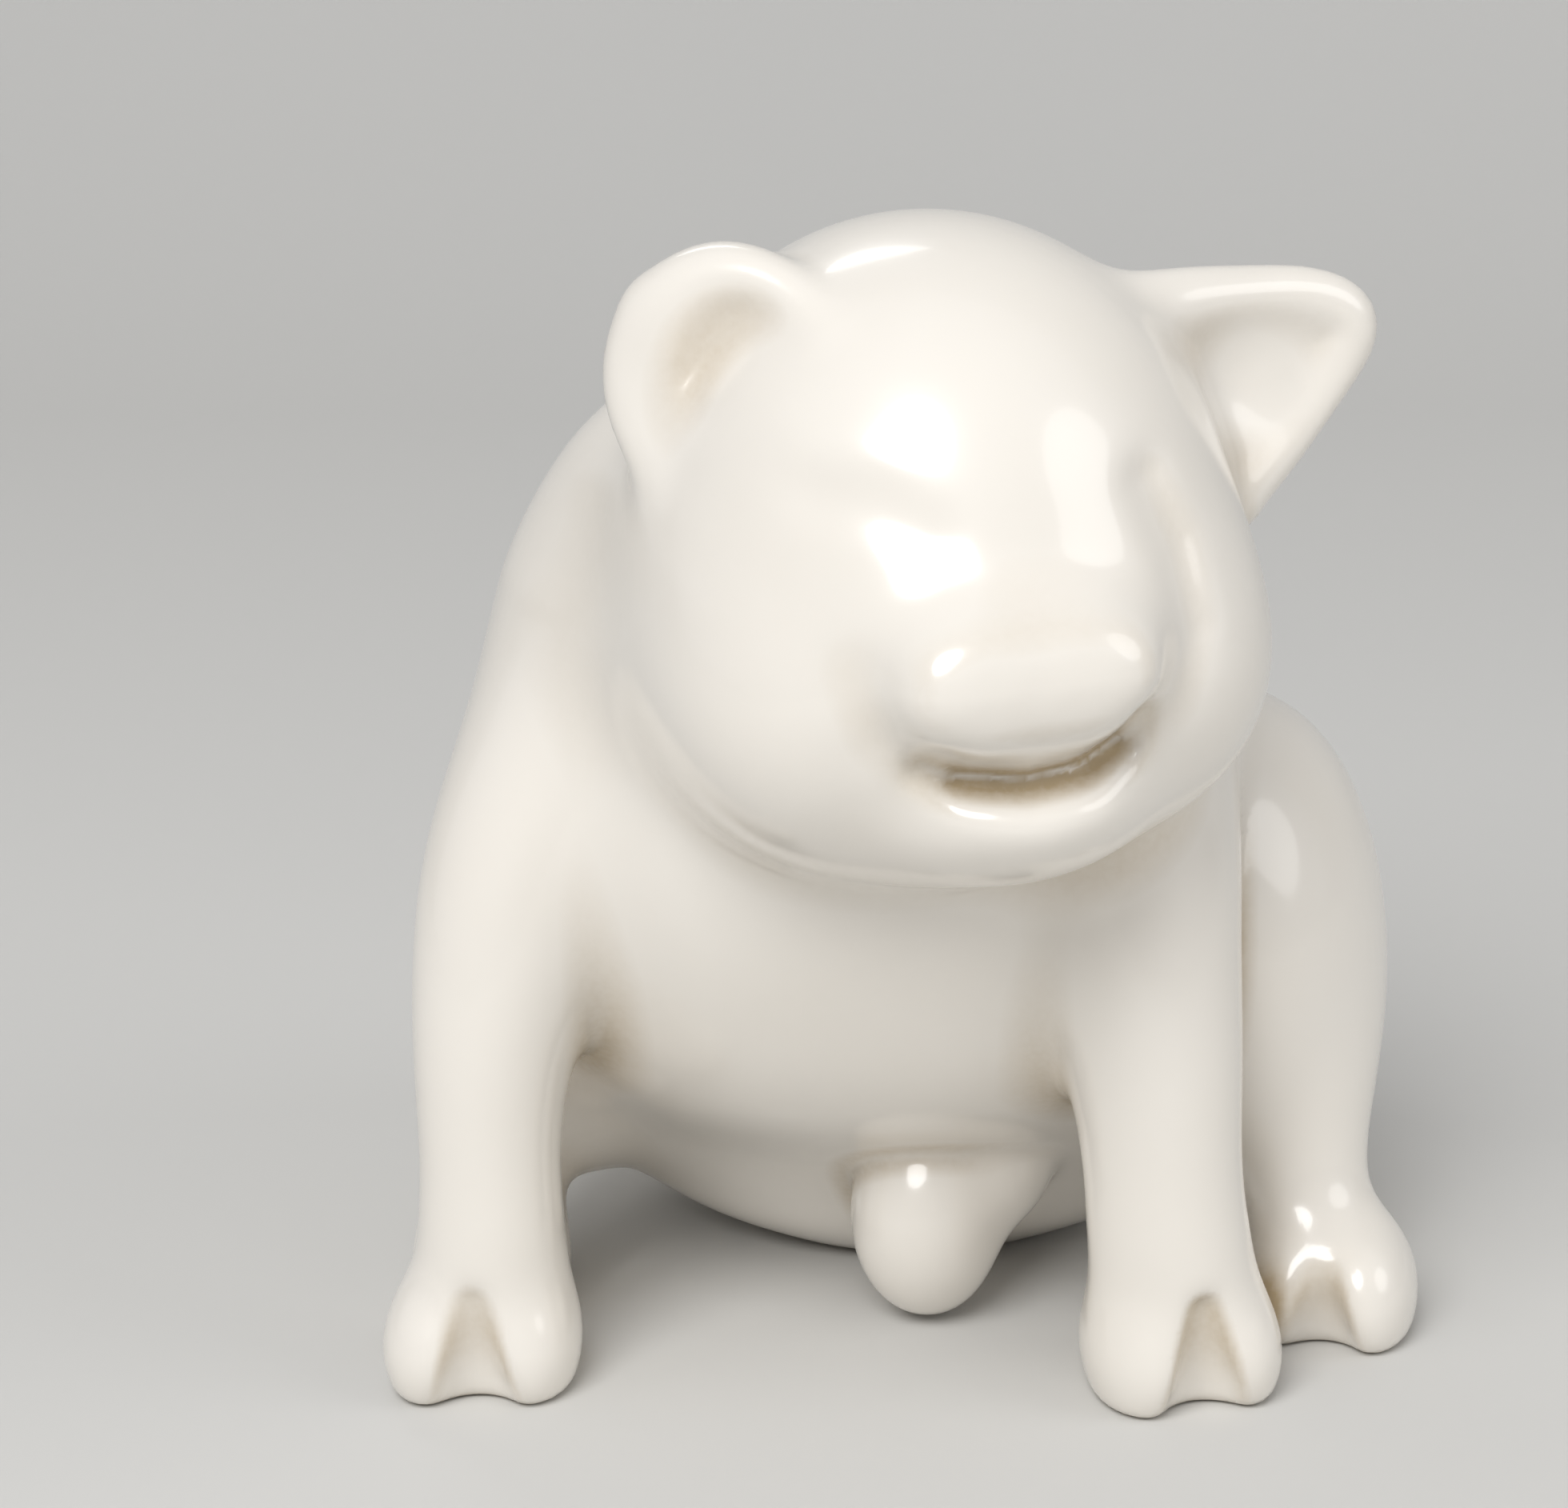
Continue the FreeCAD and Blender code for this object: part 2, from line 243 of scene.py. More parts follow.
# Ears ----------------------------------------------------------------------------------------------
# Pressed by hand from soft clay and luted to the head: a thin leaf with a rolled rim, dished at the
# front. The right ear is a small hood beside the crown, the left one stands out like a blunt horn.


def leaf(p, a, b, c, radius):
    """A flat three-cornered leaf of even thickness with round edges."""
    corners = [column(v) for v in (a, b, c)]
    normal = np.cross(corners[1] - corners[0], corners[2] - corners[0], axis=0)
    normal /= np.linalg.norm(normal)
    inside = np.full(p.shape[1], -1e9, np.float32)
    edge = np.full(p.shape[1], 1e9, np.float32)
    for start, end in zip(corners, corners[1:] + corners[:1]):
        along = end - start
        q = p - start
        outward = np.cross(along, normal, axis=0)
        inside = np.maximum(inside, (outward.T @ q)[0])
        share = np.clip((along.T @ q)[0] / float((along * along).sum()), 0, 1)
        edge = np.minimum(edge, length(q - share * along))
    level = np.abs((normal.T @ (p - corners[0]))[0])
    return np.where(inside < 0, level, edge) - radius


def rim(p, points, steps=5):
    """A rolled rim along a smooth path: (x, y, z, radius)."""
    rows = [(i, *point) for i, point in enumerate(points)]
    path = spline(rows, np.linspace(0, len(rows) - 1, (len(rows) - 1) * steps + 1))
    shape = rod(p, path[0][:3], path[1][:3], path[0][3], path[1][3])
    for a, b in zip(path[1:], path[2:]):
        shape = np.minimum(shape, rod(p, a[:3], b[:3], a[3], b[3]))
    return shape


right_rim = [
    (-12.6, 13.0, 24.6, 1.8),
    (-15.8, 8.0, 28.4, 2.7),
    (-20.3, 3.4, 29.7, 3.2),
    (-24.8, 0.5, 27.4, 3.3),
    (-28.2, -1.0, 22.5, 3.0),
    (-28.6, 0.5, 16.5, 2.7),
    (-26.5, 3.0, 11.5, 2.4),
]
left_rim = [
    (13.0, 6.0, 20.5, 3.0),
    (21.0, 2.0, 21.6, 3.4),
    (30.0, -1.0, 21.0, 3.2),
    (38.0, -2.6, 20.0, 3.0),
    (42.6, -3.0, 17.4, 2.9),
    (41.2, -2.8, 12.8, 2.6),
    (35.5, -1.6, 6.8, 2.5),
    (29.5, 0.5, 1.8, 2.6),
]


def ear_right(p):
    q = head_axes.T @ (p - column(head_centre))
    sheet = leaf(q, (-12, 6, 26), (-26, -1.5, 27), (-26, -0.5, 12), 2.2)
    root = egg(q, (-18.5, 0.5, 20), (10, 9, 11))
    dish = egg(q, (-22.0, 12.4, 20.8), (6.6, 8.0, 7.8))
    return carved(blended(blended(sheet, rim(q, right_rim), 3.0), root, 4), dish, 4.5)


def ear_left(p):
    q = head_axes.T @ (p - column(head_centre))
    sheet = leaf(q, (16, 1, 20), (41, -3.5, 16), (26, -1, 3), 2.0)
    root = egg(q, (25, -2, 12), (12, 6, 9))
    dish = egg(q, (33.6, 5.5, 13.2), (9.6, 5.2, 6.8))
    return carved(blended(blended(sheet, rim(q, left_rim), 3.0), root, 4), dish, 4.5)


# Front legs ----------------------------------------------------------------------------------------
# Straight solid legs under broad shoulders, each on a cloven foot: two rounded toes parted by a cleft
# that was cut into the clay and sponged smooth.


def foot(leg, p, centre, half_width, half_length, cleft, turn=0.0):
    """A leg with a cloven foot under it. The toes point forward, turned out by an angle, and the cleft
    between them is so high."""
    c, s = math.cos(turn), math.sin(turn)
    q = column((c, s, 0, -s, c, 0, 0, 0, 1)).reshape(3, 3) @ (p - column(centre))
    toe = half_width * 0.54
    shape = egg(q, (0, half_length * 0.16, 5.0), (half_width * 0.94, half_length * 0.84, 8.0))
    for across in (toe - half_width, half_width - toe):
        one = egg(q, (across, -half_length * 0.40, 4.4), (toe, half_length * 0.60, 6.4))
        shape = blended(shape, one, 4.0)
    wedge = rod(q, (0, -half_length * 1.02, -2.0), (0, -half_length * 0.93, cleft), 4.7, 1.0)
    return carved(blended(leg, shape, 4), wedge, 2.4)


right_shoulder = stack([
    (1, -1.0, -5.0, 7.6, 7.4),
    (6, -0.8, -5.2, 8.2, 8.0),
    (13, 0.0, -5.8, 7.9, 8.2),
    (24, 0.5, -5.6, 7.2, 7.9),
    (34, 1.0, -4.2, 8.0, 9.0),
    (46, 2.6, -0.6, 9.8, 11.4),
    (58, 5.0, 4.0, 10.6, 13.0),
    (69, 9.0, 8.4, 9.8, 12.4),
    (80, 13.5, 12.0, 7.0, 9.0),
])
left_shoulder = stack([
    (1, 1.2, -2.0, 7.6, 7.4),
    (6, 1.0, -2.2, 8.2, 8.0),
    (13, 0.7, -2.8, 8.4, 8.2),
    (22, 0.0, -3.0, 8.0, 8.0),
    (34, -0.8, -1.6, 8.6, 9.2),
    (46, -2.4, 1.6, 9.9, 11.4),
    (58, -4.4, 5.6, 10.8, 13.0),
    (69, -8.0, 9.6, 10.2, 12.4),
    (80, -12.5, 13.0, 7.0, 9.0),
])


def front_leg_right(p):
    q = p - column(middle("front_leg_right", floor=True))
    return foot(right_shoulder(q), q, (-1.3, -5.2, 0), 9.6, 10.0, 11.5, 0.12)


def front_leg_left(p):
    q = p - column(middle("front_leg_left", floor=True))
    return foot(left_shoulder(q), q, (0.8, -1.2, 0), 9.3, 10.0, 11.5, 0.40)


# Hind legs -----------------------------------------------------------------------------------------
# The pig sits on its haunches: a full thigh on each flank, a short shank under the knee and a small
# cloven foot set forward beside the front one.

left_shank = stack([
    (2, 5.0, -15.6, 6.6, 7.0),
    (8, 3.6, -14.4, 6.6, 7.0),
    (14, 1.9, -12.0, 7.0, 7.6),
    (24, 0.4, -8.0, 8.6, 9.6),
    (36, -1.4, -3.0, 9.4, 11.0),
    (46, -4.0, 1.0, 8.0, 10.0),
])
right_shank = stack([
    (2, -0.8, -14.6, 6.6, 7.0),
    (8, -0.8, -13.6, 6.6, 7.0),
    (14, -0.2, -12.0, 6.9, 7.6),
    (24, 1.0, -8.0, 8.2, 9.6),
    (36, 3.4, -3.0, 8.6, 11.0),
    (44, 6.0, 1.0, 7.4, 10.0),
])


def hind_leg_left(p):
    q = p - column(middle("hind_leg_left", floor=True))
    thigh = egg(q, (-4.4, 0.5, 37.0), (14.4, 22.5, 26.0))
    return foot(blended(thigh, left_shank(q), 5), q, (5.8, -16.6, 0), 8.2, 9.4, 8.8, -0.15)


def hind_leg_right(p):
    q = p - column(middle("hind_leg_right", floor=True))
    thigh = egg(q, (5.8, 1.5, 33.0), (14.0, 22.5, 24.0))
    return foot(blended(thigh, right_shank(q), 5), q, (-0.5, -15.4, 0), 7.8, 9.2, 8.8, 0.10)


# Tail ----------------------------------------------------------------------------------------------
# A thin roll of clay curled once round and pressed on to the rump with slip.


coil = []
for step in range(25):
    angle = math.radians(-110 - step * 20)
    out = 5.6 - step * 0.13
    thick = 2.0 - step * 0.037
    coil.append((out * math.cos(angle), -2.2 + step * 0.105, out * math.sin(angle), thick))


def tail(p):
    return rim(p - column(middle("tail")), coil, 1)


# Belly lobe ----------------------------------------------------------------------------------------
# A plain solid drop of clay on the underside of the belly, between the legs.


def belly_lobe(p):
    q = p - column(middle("belly_lobe", floor=True))
    drop = egg(q, (-0.4, -2.4, 11.3), (8.0, 8.4, 10.9))
    return blended(drop, egg(q, (6.4, 2.0, 17.0), (6.5, 7.0, 7.5)), 5)


# Coin slot and stopper hole ------------------------------------------------------------------------
# The slot is cut through the back of the neck while the clay is leather hard, and its edges are wiped
# round with a sponge. The hole in the seat has a shallow recess that hides the edge of the stopper.

wall = 4.0
slot_half = (2.5, 15.5)
slot_lean = math.radians(46)
slot_reach = 14.0
slot_middle = middle("torso", floor=True) + (-0.07, 20.95, 77.0)
seat_middle = middle("stopper", floor=True)
hole_radius = 12.5
recess_radius = 14.7
recess_depth = 3.2
seat_thickness = 7.0
boss_wall = 2.0


def slot_tool(p):
    q = p - column(slot_middle)
    along = q[1] * math.cos(slot_lean) - q[2] * math.sin(slot_lean)
    run = slot_half[1] - slot_half[0]
    past = along - np.clip(along, -run, run)
    depth = q[1] * math.sin(slot_lean) + q[2] * math.cos(slot_lean)
    return np.maximum(np.hypot(q[0], past) - slot_half[0], -slot_reach - depth)


def seat_tools(p):
    """The hole, the recess and the boss round them, as three distances."""
    q = p - column(seat_middle)
    out = np.hypot(q[0], q[1])
    hole = np.maximum(out - hole_radius, q[2] - seat_thickness - 2)
    recess = np.maximum(out - recess_radius, q[2] - recess_depth)
    boss = np.maximum(out - recess_radius - boss_wall, q[2] - seat_thickness)
    return hole, recess, boss


# Casting -------------------------------------------------------------------------------------------
# The pieces are luted together raw, and one glaze runs over all of them, so their surfaces flow into
# each other with soft fillets. The torso and the head stay hollow and open to each other at the neck.

castings = {shape.__name__: shape for shape in (
    torso, head, ear_right, ear_left, front_leg_right, front_leg_left, hind_leg_right, hind_leg_left,
    tail, belly_lobe)}
fillets = {"ear_right": 3.5, "ear_left": 4.0, "front_leg_right": 7.0, "front_leg_left": 7.0,
           "hind_leg_right": 7.0, "hind_leg_left": 7.0, "tail": 0.8, "belly_lobe": 2.0}
leg_fillet = 2.0
foot_edge = 1.2
hollow_corner = 3.0
slot_edge = 1.6
hole_edge = 0.8
far = 60.0
nearness = {name: 12.0 if name.startswith(("ear", "tail", "belly")) else 26.0 for name in castings}


def castings_at(p):
    """The distance to each casting, one row each. Away from a casting its row holds a large number."""
    rows = np.full((len(castings), p.shape[1]), far, np.float32)
    for row, (name, shape) in zip(rows, castings.items()):
        low, high = [column(corner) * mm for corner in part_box(name)]
        near = ((p > low - nearness[name]) & (p < high + nearness[name])).all(0)
        if near.any():
            row[near] = shape(p[:, near])
    return rows


def smooth(values, start, end):
    """A soft step from 0 to 1."""
    share = np.clip((values - start) / (end - start), 0, 1)
    return share * share * (3 - 2 * share)


def bank(p):
    """The whole glazed casting, hollow, with its slot and its hole, and the piece that each point is in,
    counted from 1."""
    rows = castings_at(p)
    at = dict(zip(castings, rows))
    # The fillet round the neck is tight under the left jowl, wide over the right shoulder, and fades out
    # at the crown.
    rightward = smooth(-p[0], -26.0, 14.0)
    throat = 2.8 + rightward * (6.0 + 7.0 * smooth(p[2], 58.0, 82.0))
    throat = throat * (1 - 0.75 * smooth(p[2], 94.0, 108.0))
    core = blended(at["torso"], at["head"], throat)
    whole = core
    for name, radius in fillets.items():
        whole = np.minimum(whole, blended(core, at[name], radius))
    for front, hind in (("front_leg_left", "hind_leg_left"), ("front_leg_right", "hind_leg_right")):
        whole = np.minimum(whole, blended(at[front], at[hind], leg_fillet))
    whole = carved(whole, p[2], foot_edge)
    hole, recess, boss = seat_tools(p)
    hollow = -blended(-(core + wall), -(wall - p[2]), hollow_corner)
    hollow = np.maximum(hollow, -boss)
    whole = np.maximum(whole, -hollow)
    whole = carved(whole, slot_tool(p), slot_edge)
    whole = carved(whole, hole, hole_edge)
    return carved(whole, recess, hole_edge), rows.argmin(0) + 1


def grid_points(low, counts, pitch):
    """The points of a regular grid, as three rows."""
    axes = [(low[i] + pitch * np.arange(counts[i])).astype(np.float32) for i in range(3)]
    return np.array([axis.ravel() for axis in np.meshgrid(*axes, indexing="ij")])


def in_parts(shape, p, size=60000):
    """A shape's distances and labels at many points, worked out a part at a time to save memory."""
    parts = [shape(p[:, i:i + size]) for i in range(0, p.shape[1], size)]
    return [np.concatenate(values) for values in zip(*parts)]


def between(grid, place):
    """Values of a grid at places counted in its own steps."""
    first = np.clip(place.astype(int), 0, np.array(grid.shape)[:, None] - 2)
    share = place - first
    total = 0
    for corner in np.ndindex(2, 2, 2):
        weight = np.prod([share[i] if corner[i] else 1 - share[i] for i in range(3)], axis=0)
        total = total + grid[tuple(first[i] + corner[i] for i in range(3))] * weight
    return total


def settled(kind, rounds=2):
    """The labels of a grid, with each lone point of a piece given to the piece that most of its
    neighbours are in."""
    for _ in range(rounds):
        near = [np.roll(kind, step, axis) for axis in range(3) for step in (-1, 1)]
        alike = sum(part == kind for part in near)
        for place in map(tuple, np.argwhere((kind > 0) & (alike < 2))):
            around = [part[place] for part in near if part[place] > 0]
            kind[place] = max(around, key=around.count, default=kind[place])
    return kind


class Skin:
    """The skin of a shape, meshed on a grid: corners, four-sided faces and the piece on each side of
    a face, where 0 is air. Only the grid points within a band of the surface are worked out exactly."""

    def __init__(self, shape, low, high, pitch, coarse=3, border=2.5, band=3.5):
        self.low, self.pitch = low - border * pitch, pitch
        counts = np.ceil((high - low + 2 * border * pitch) / pitch / coarse).astype(int) * coarse + 1
        wide = (counts - 1) // coarse + 1
        values, labels = in_parts(shape, grid_points(self.low, wide, pitch * coarse))
        points = grid_points(self.low, counts, pitch)
        place = (points - column(self.low)) / (pitch * coarse)
        level = between(values.reshape(wide), place)
        kind = labels.reshape(wide)[tuple(np.rint(place).astype(int))]
        close = np.abs(level) < band * pitch
        level[close], kind[close] = in_parts(shape, points[:, close])
        self.level = level.reshape(counts)
        self.grade = np.gradient(self.level, pitch)
        self.mesh(settled(np.where(level < 0, kind, 0).reshape(counts)))

    def distance(self, corners):
        """How far each corner is outside the surface."""
        return between(self.level, (corners.T - column(self.low)) / self.pitch)

    def outward(self, corners):
        """The direction of the surface at each corner."""
        place = (corners.T - column(self.low)) / self.pitch
        grade = np.array([between(part, place) for part in self.grade]).T
        return grade / np.maximum(np.linalg.norm(grade, axis=1, keepdims=True), 1e-9)

    def mesh(self, kind):
        """Puts a corner in each cell that the skin crosses and a face over each pair of unlike points."""
        cells = np.array(kind.shape) - 1
        total = np.zeros((3, cells.prod()))
        hits = np.zeros(cells.prod())
        faces, sides = [], []
        for axis in range(3):
            u, v = (1, 2, 0)[axis], (2, 0, 1)[axis]
            first = np.take(kind, range(cells[axis]), axis)
            second = np.take(kind, range(1, cells[axis] + 1), axis)
            place = np.argwhere(first != second)
            inner = (place[:, [u, v]] > 0).all(1) & (place[:, [u, v]] < cells[[u, v]]).all(1)
            place = place[inner]
            after = place.copy()
            after[:, axis] += 1
            one, two = self.level[tuple(place.T)], self.level[tuple(after.T)]
            a, b = kind[tuple(place.T)], kind[tuple(after.T)]
            skin = (a == 0) | (b == 0)
            share = np.where(skin, one / np.where(skin, one - two, 1), 0.5)
            cross = place.astype(float)
            cross[:, axis] += np.clip(share, 0, 1)
            ring = []
            for du, dv in ((-1, -1), (0, -1), (0, 0), (-1, 0)):
                cell = place.copy()
                cell[:, u] += du
                cell[:, v] += dv
                index = (cell[:, 0] * cells[1] + cell[:, 1]) * cells[2] + cell[:, 2]
                ring.append(index)
                hits += np.bincount(index, minlength=len(hits))
                for i in range(3):
                    total[i] += np.bincount(index, cross[:, i], len(hits))
            faces.append(np.array(ring).T)
            sides.append(np.array([a, b]).T)
        used = np.flatnonzero(hits)
        renumber = np.zeros(len(hits), int)
        renumber[used] = np.arange(len(used))
        self.faces, self.sides = renumber[np.vstack(faces)], np.vstack(sides)
        self.corners = self.low + self.pitch * (total[:, used] / hits[used]).T
        self.open = np.zeros(len(used), bool)
        self.open[self.faces[(self.sides == 0).any(1)]] = True
        # A face inside the clay starts at a buried corner, so that its fold never bridges a hollow.
        start = (~self.open[self.faces]).argmax(1)
        self.faces = np.take_along_axis(self.faces, (start[:, None] + np.arange(4)) % 4, 1)

    def relax(self, rounds=4, ease=0.6, cover=0.5):
        """Evens out the mesh, and each time draws the outside back to the surface and keeps the corners
        inside the clay under a cover of half a grid step."""
        links = np.vstack([self.faces[:, [i, (i + 1) % 4]] for i in range(4)])
        links = np.vstack([links, links[:, ::-1]])
        count = np.bincount(links[:, 0], minlength=len(self.corners))
        for turn in range(rounds):
            pull = [np.bincount(links[:, 0], self.corners[links[:, 1], i]) / count for i in range(3)]
            self.corners += ease * (np.array(pull).T - self.corners)
            for again in range(2):
                away = self.distance(self.corners)
                buried = np.maximum(away + cover * self.pitch, 0)
                away = np.clip(np.where(self.open, away, buried), -self.pitch, self.pitch)
                self.corners -= self.outward(self.corners) * away[:, None]


pig = Skin(bank, *[np.array(corner) * mm for corner in cad_box], 0.8)
pig.relax()
corners, faces, sides = pig.corners, pig.faces, pig.sides
normals = pig.outward(corners)

# How much of the space in front of the surface is closed in: there the colour is painted darker, as painted
# shade.
painted_crease_shade = np.zeros(len(corners))
for distance in (1.5, 3.0, 5.0):
    painted_crease_shade += np.clip(1 - pig.distance(corners + normals * distance) / distance, 0, 1) / 3


def colour(code):
    """An sRGB hex colour as linear numbers with an alpha."""
    values = [int(code[i:i + 2], 16) / 255 for i in (1, 3, 5)]
    return [v / 12.92 if v <= 0.04045 else ((v + 0.055) / 1.055) ** 2.4 for v in values] + [1.0]


def add(material, kind, inputs=None, **settings):
    """Adds a shader node with its settings, values and links."""
    new = material.node_tree.nodes.new(kind)
    for name, value in settings.items():
        setattr(new, name, value)
    for socket, value in (inputs or {}).items():
        if isinstance(value, bpy.types.NodeSocket):
            material.node_tree.links.new(value, new.inputs[socket])
        else:
            new.inputs[socket].default_value = value
    return new


def empty_material(name):
    material = bpy.data.materials.new(name)
    material.use_nodes = True
    material.node_tree.nodes.clear()
    return material


# Sockets of a Mix node that is set to colours.
first_colour, second_colour, mixed = 6, 7, 2

# Glazed porcelain: a clear feldspar glaze over a slightly warm white body, fired glossy. Creases are painted
# darker and honey yellow as painted shade, and the body stays bare and matt where the piece stood in the
# kiln.
# Clouds in the body are about 22 mm across, flecks in the painted shade about 1 mm, the glaze's orange peel
# about 5 mm.
porcelain = empty_material("Clear_glazed_porcelain")
crease_shade_mask = add(porcelain, "ShaderNodeAttribute", attribute_name="painted_crease_shade")
bare = add(porcelain, "ShaderNodeAttribute", attribute_name="bare")
place = add(porcelain, "ShaderNodeTexCoord")
where = place.outputs["Object"]
clouds = add(porcelain, "ShaderNodeTexNoise", {"Vector": where, "Scale": 45.0, "Detail": 3.0})
shade_flecks = add(porcelain, "ShaderNodeTexNoise", {"Vector": where, "Scale": 1100.0, "Detail": 2.0})
orange_peel = add(porcelain, "ShaderNodeTexNoise", {"Vector": where, "Scale": 220.0, "Detail": 2.0})
body = add(porcelain, "ShaderNodeMix", {
    "Factor": clouds.outputs["Fac"], first_colour: colour("#f1ece4"), second_colour: colour("#ebe5db")},
    data_type="RGBA")
mottle = add(porcelain, "ShaderNodeMath", {0: shade_flecks.outputs["Fac"], 1: 0.5, 2: -0.25},
             operation="MULTIPLY_ADD")
# Painted shade: the colour darkens towards honey brown where the surface is closed in, broken up by small
# flecks.
deep = add(porcelain, "ShaderNodeMapRange", {
    "Value": crease_shade_mask.outputs["Fac"], "From Min": 0.15, "From Max": 0.7})
uneven = add(porcelain, "ShaderNodeMath", {
    0: deep.outputs["Result"], 1: mottle.outputs["Value"], 2: deep.outputs["Result"]},
    operation="MULTIPLY_ADD")
depth = add(porcelain, "ShaderNodeMapRange", {
    "Value": uneven.outputs["Value"], "From Min": 0.0, "From Max": 1.0, "To Max": 0.85})
honey_shade = add(porcelain, "ShaderNodeMix", {
    "Factor": depth.outputs["Result"], first_colour: body.outputs[mixed], second_colour: colour("#b59f78")},
    data_type="RGBA")
biscuit = add(porcelain, "ShaderNodeMix", {
    "Factor": bare.outputs["Fac"], first_colour: honey_shade.outputs[mixed], second_colour: colour("#d9d0c0")},
    data_type="RGBA")
gloss = add(porcelain, "ShaderNodeMapRange", {
    "Value": bare.outputs["Fac"], "To Min": 0.24, "To Max": 0.75})
ripple = add(porcelain, "ShaderNodeBump", {
    "Strength": 0.05, "Distance": 0.0003, "Height": orange_peel.outputs["Fac"]})
glaze = add(porcelain, "ShaderNodeBsdfPrincipled", {
    "Base Color": biscuit.outputs[mixed], "Roughness": gloss.outputs["Result"], "IOR": 1.5,
    "Coat Weight": 0.6, "Coat Roughness": 0.09, "Coat IOR": 1.52, "Normal": ripple.outputs["Normal"]})
add(porcelain, "ShaderNodeOutputMaterial", {"Surface": glaze.outputs["BSDF"]})

# Each piece takes its share of the skin. Its foot is bare of glaze where it faces the floor and nearly
# touches it.
for number, name in enumerate(castings, 1):
    mine = (sides == number).any(1)
    order = faces[mine]
    flip = sides[mine][:, 0] != number
    order = np.where(flip[:, None], order[:, [0, 3, 2, 1]], order)
    used, order = np.unique(order.ravel(), return_inverse=True)
    order = order.reshape(-1, 4)
    mesh = bpy.data.meshes.new(name)
    mesh.vertices.add(len(used))
    mesh.vertices.foreach_set("co", (corners[used] / mm).ravel())
    mesh.loops.add(order.size)
    mesh.loops.foreach_set("vertex_index", order.ravel())
    mesh.polygons.add(len(order))
    mesh.polygons.foreach_set("loop_start", np.arange(0, order.size, 4))
    mesh.polygons.foreach_set("loop_total", np.full(len(order), 4))
    mesh.update(calc_edges=True)
    mesh.polygons.foreach_set("use_smooth", np.ones(len(order), bool))
    mesh.normals_split_custom_set_from_vertices(normals[used])
    stood_on = smooth(-normals[used][:, 2], 0.3, 0.9) * (1 - smooth(corners[used][:, 2], 0.1, 0.7))
    # The painted shade of the creases goes on each piece as an attribute, next to the bare foot.
    for title, values in (("painted_crease_shade", painted_crease_shade[used]), ("bare", stood_on)):
        mesh.attributes.new(title, "FLOAT", "POINT").data.foreach_set("value", values.astype(np.float32))
    mesh.materials.append(porcelain)
    piece = bpy.data.objects.new("porcelain_" + name, mesh)
    bpy.context.scene.collection.objects.link(piece)
    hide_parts(name)
    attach(piece, "porcelain")

# Stopper -------------------------------------------------------------------------------------------
# A soft rubber bung, moulded in one: a flange that lies in the recess of the seat, and a hollow plug
# with two sealing ribs that grips the bore.

flange_radius = 14.2
plug_radius = 12.1
plug_bore = 9.6
rib_heights = (5.6, 8.2)
rib_radius = 0.55
grip_radius = 10.2
grip_depth = 1.9
grip_half_width = 2.2
edge = 0.6


def stopper(p):
    """The bung: a flange, a hollow plug with ribs, and a bar to grip between two sunk half rounds."""
    q = p - column(seat_middle)
    out = np.hypot(q[0], q[1])
    flange = np.maximum(out - flange_radius, np.abs(q[2] - 2.1) - 1.1)
    plug = np.maximum(out - plug_radius, np.abs(q[2] - 5.8) - 4.7)
    shape = blended(flange, plug, edge)
    for height in rib_heights:
        rib = np.hypot(out - (plug_radius - 0.25), q[2] - height) - rib_radius
        shape = blended(shape, rib, 0.5)
    shape = carved(shape, np.maximum(out - plug_bore, 3.2 - q[2]), edge)
    sunk = np.maximum(out - grip_radius, q[2] - grip_depth)
    sunk = np.maximum(sunk, grip_half_width - np.abs(q[1]))
    return carved(shape, sunk, edge), np.ones(p.shape[1], int)


skin = Skin(stopper, *[np.array(corner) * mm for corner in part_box("stopper")], 0.4)
skin.relax(2)
quads = np.where((skin.sides[:, 0] != 1)[:, None], skin.faces[:, [0, 3, 2, 1]], skin.faces)
mesh = bpy.data.meshes.new("stopper")
mesh.from_pydata((skin.corners / mm).tolist(), [], quads.tolist())
mesh.polygons.foreach_set("use_smooth", np.ones(len(quads), bool))

# Natural rubber with chalk filler: soft grey white, faintly warm, with a dull moulded skin. Its grain is
# about 1 mm across.
rubber = empty_material("Moulded_white_rubber")
rubber_place = add(rubber, "ShaderNodeTexCoord")
grain = add(rubber, "ShaderNodeTexNoise", {
    "Vector": rubber_place.outputs["Object"], "Scale": 900.0, "Detail": 4.0})
grain_bump = add(rubber, "ShaderNodeBump", {
    "Strength": 0.25, "Distance": 0.0002, "Height": grain.outputs["Fac"]})
tint = add(rubber, "ShaderNodeMix", {
    "Factor": grain.outputs["Fac"], first_colour: colour("#cfcbc2"), second_colour: colour("#c3beb3")},
    data_type="RGBA")
matt = add(rubber, "ShaderNodeBsdfPrincipled", {
    "Base Color": tint.outputs[mixed], "Roughness": 0.6, "IOR": 1.52, "Normal": grain_bump.outputs["Normal"]})
add(rubber, "ShaderNodeOutputMaterial", {"Surface": matt.outputs["BSDF"]})
mesh.materials.append(rubber)
bung = bpy.data.objects.new("rubber_stopper", mesh)
bpy.context.scene.collection.objects.link(bung)
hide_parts("stopper")
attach(bung, "stopper")

# Floor, light and camera ---------------------------------------------------------------------------
# A sheet of pale matt paper that runs up into a plain backdrop, one large soft light above and in front,
# and weaker ones from the side and from behind.

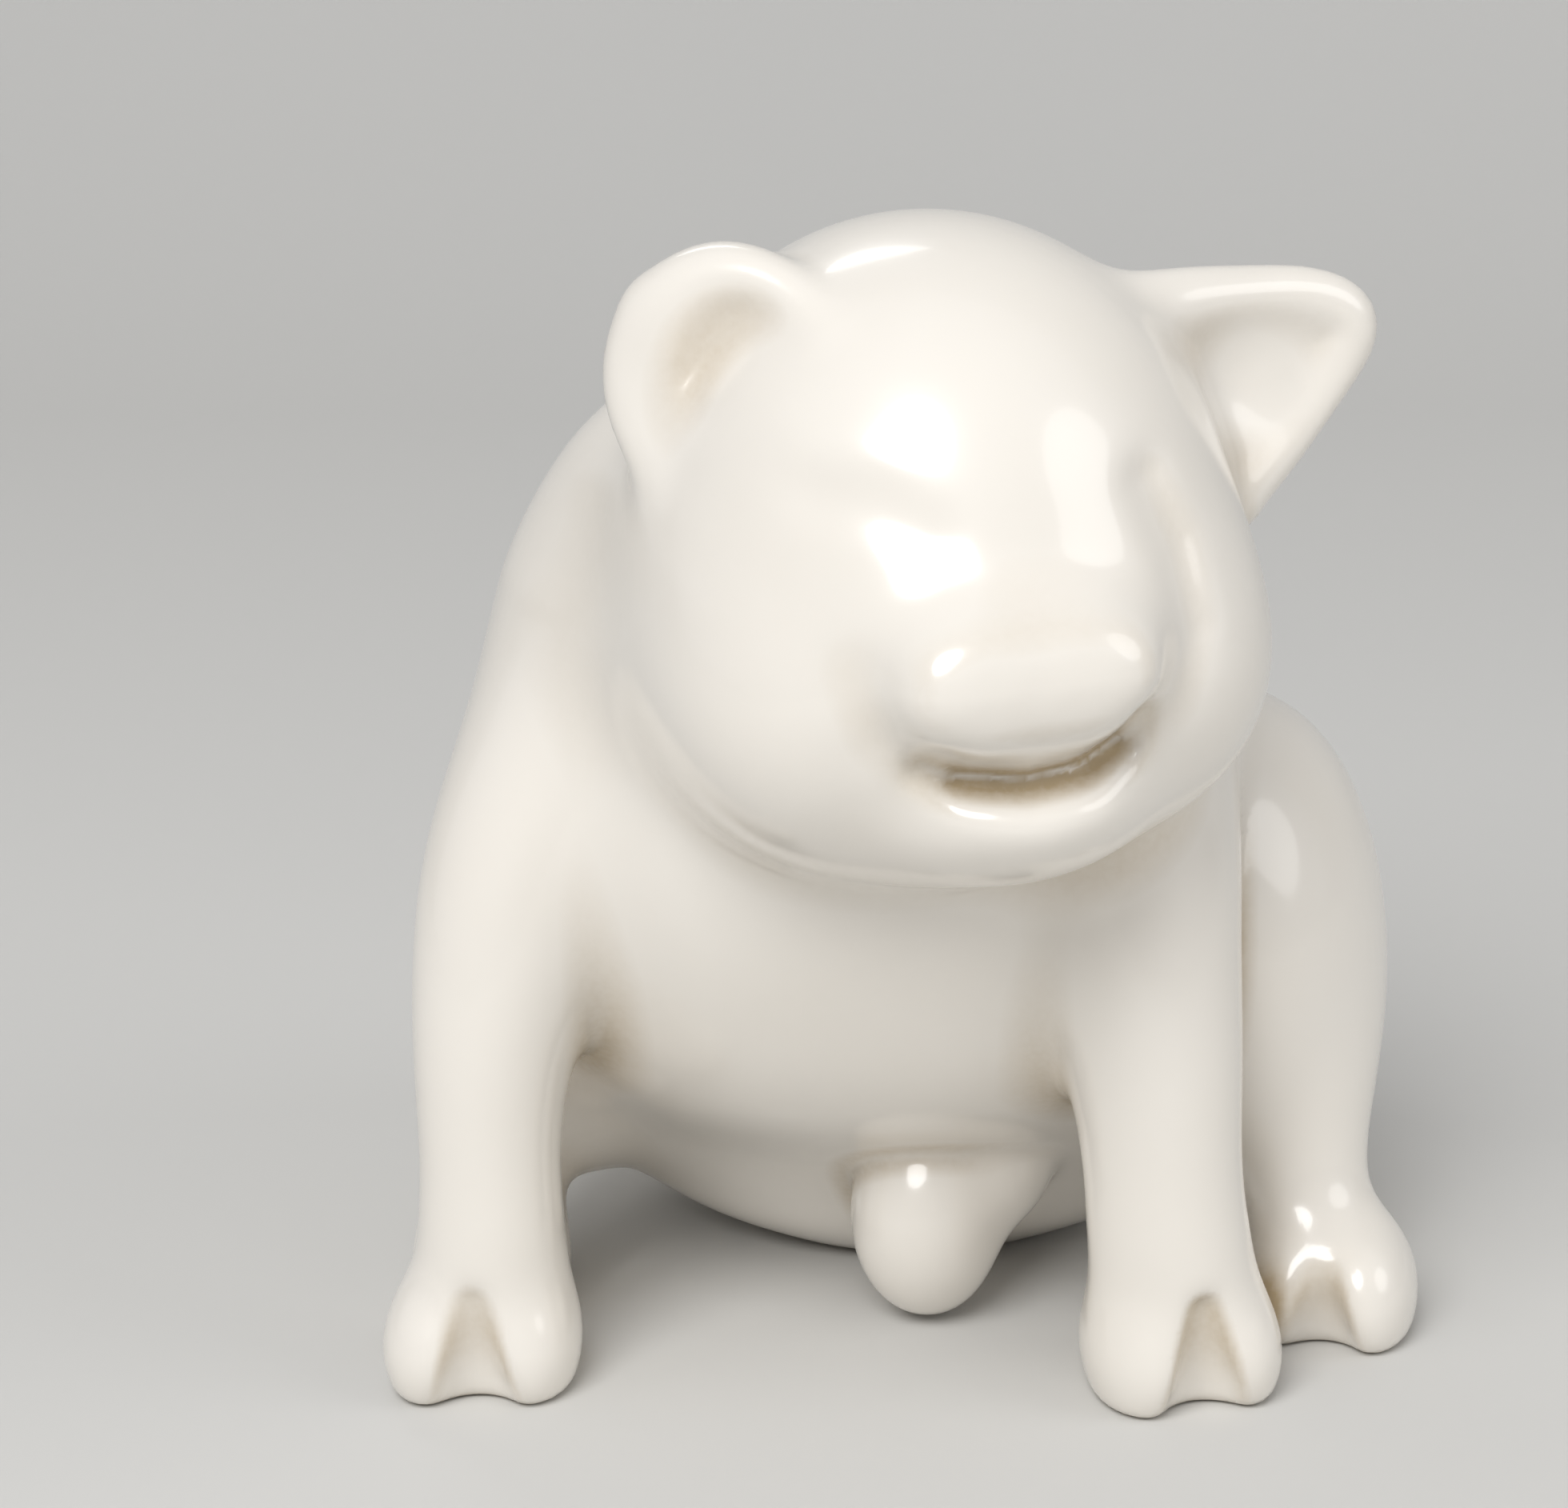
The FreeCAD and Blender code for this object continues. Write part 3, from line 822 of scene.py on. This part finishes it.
centre = (cad_box[0] + cad_box[1]) / 2
sheet_reach = 3.0
bend = 0.5
floor_mesh = bpy.data.meshes.new("table")
profile = [(-sheet_reach, 0.0), (bend, 0.0)]
for step in range(1, 13):
    angle = math.radians(step * 7.5)
    profile.append((bend + bend * math.sin(angle), bend - bend * math.cos(angle)))
profile.append((2 * bend, sheet_reach))
rows = [(side * sheet_reach, y, z) for y, z in profile for side in (-1, 1)]
strips = [(2 * i, 2 * i + 1, 2 * i + 3, 2 * i + 2) for i in range(len(profile) - 1)]
floor_mesh.from_pydata(rows, [], strips)
for polygon in floor_mesh.polygons:
    polygon.use_smooth = True
table = bpy.data.objects.new("table", floor_mesh)
bpy.context.scene.collection.objects.link(table)
paper = empty_material("Matt_background_paper")
sheet = add(paper, "ShaderNodeBsdfPrincipled", {
    "Base Color": colour("#d3d2cf"), "Roughness": 0.9, "Specular IOR Level": 0.2})
add(paper, "ShaderNodeOutputMaterial", {"Surface": sheet.outputs["BSDF"]})
floor_mesh.materials.append(paper)

world = bpy.data.worlds.new("room")
bpy.context.scene.world = world
world.use_nodes = True
background = world.node_tree.nodes["Background"]
background.inputs["Color"].default_value = colour("#e8e9ec")
background.inputs["Strength"].default_value = 0.5

# Name, place from the middle of the bank in metres, size in metres and power in watts.
lamps = [
    ("softbox", (-0.2, -0.95, 0.95), 0.85, 12.8),
    ("side_light", (1.1, -0.3, 0.6), 0.8, 3.0),
    ("back_light", (-0.4, 1.1, 0.8), 0.8, 4.0),
]
for name, offset, size, power in lamps:
    lamp = bpy.data.lights.new(name, "AREA")
    lamp.shape = "DISK"
    lamp.size = size
    lamp.energy = power
    light = bpy.data.objects.new(name, lamp)
    light.location = centre + Vector(offset)
    light.rotation_mode = "QUATERNION"
    light.rotation_quaternion = (-Vector(offset)).to_track_quat("-Z", "Y")
    bpy.context.scene.collection.objects.link(light)

azimuth = math.radians(9.0)
elevation = math.radians(16.5)
roll = math.radians(2.0)
camera_distance = 0.43
level = math.cos(elevation)
back = Vector((math.sin(azimuth) * level, -math.cos(azimuth) * level, math.sin(elevation)))
aim = centre + Vector((-0.0105, -0.0069, 0.00255))
viewer = centre + Vector((-0.0015, -0.0078, -0.00525)) + back * camera_distance
camera_data = bpy.data.cameras.new("camera")
camera_data.sensor_width = 36.0
camera_data.lens = 96.4286
camera_data.clip_start = 0.05
camera_data.clip_end = 20.0
camera = bpy.data.objects.new("camera", camera_data)
bpy.context.scene.collection.objects.link(camera)
camera.location = viewer
camera.rotation_mode = "QUATERNION"
look = (aim - viewer).normalized()
camera.rotation_quaternion = look.to_track_quat("-Z", "Y") @ Matrix.Rotation(-roll, 3, "Z").to_quaternion()
bpy.context.scene.camera = camera
bpy.context.scene.view_settings.view_transform = "Standard"
